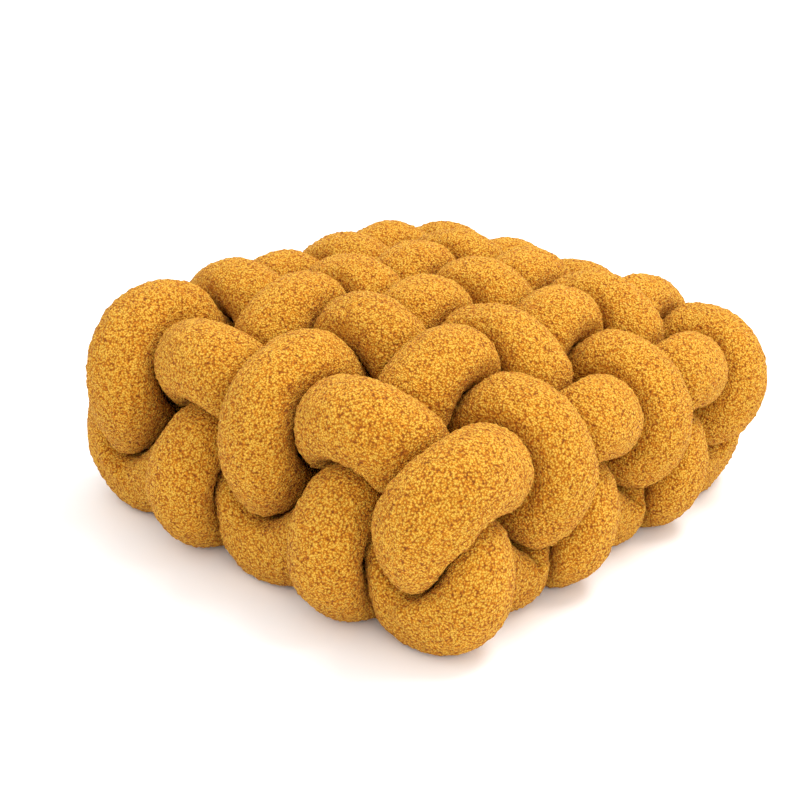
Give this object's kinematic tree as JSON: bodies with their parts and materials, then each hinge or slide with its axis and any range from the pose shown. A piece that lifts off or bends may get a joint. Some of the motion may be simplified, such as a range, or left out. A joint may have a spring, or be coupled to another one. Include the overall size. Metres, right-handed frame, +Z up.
{
  "type": "woven floor cushion",
  "caption": "Square floor cushion woven from fat stuffed tubes of mustard teddy bouclé, each tube closed into a ring that passes over and under the others.",
  "frame": {"origin": "middle of the cushion's base, on the surface that it rests on", "axes": "+Z up out of the cushion's top face; +Y along the long tubes; +X along the cross tubes"},
  "size_m": [0.4762, 0.5174, 0.2209],
  "materials": {
    "mustard_boucle": "mustard teddy bouclé, a matt cloth of tight curls about 4 mm across"
  },
  "bodies": {
    "root": {"long_tube_1": "mustard_boucle", "long_tube_2": "mustard_boucle", "long_tube_3": "mustard_boucle", "long_tube_4": "mustard_boucle", "long_tube_5": "mustard_boucle", "cross_tube_1": "mustard_boucle", "cross_tube_2": "mustard_boucle", "cross_tube_3": "mustard_boucle", "cross_tube_4": "mustard_boucle", "cross_tube_5": "mustard_boucle", "cross_tube_6": "mustard_boucle"}
  },
  "joints": []
}
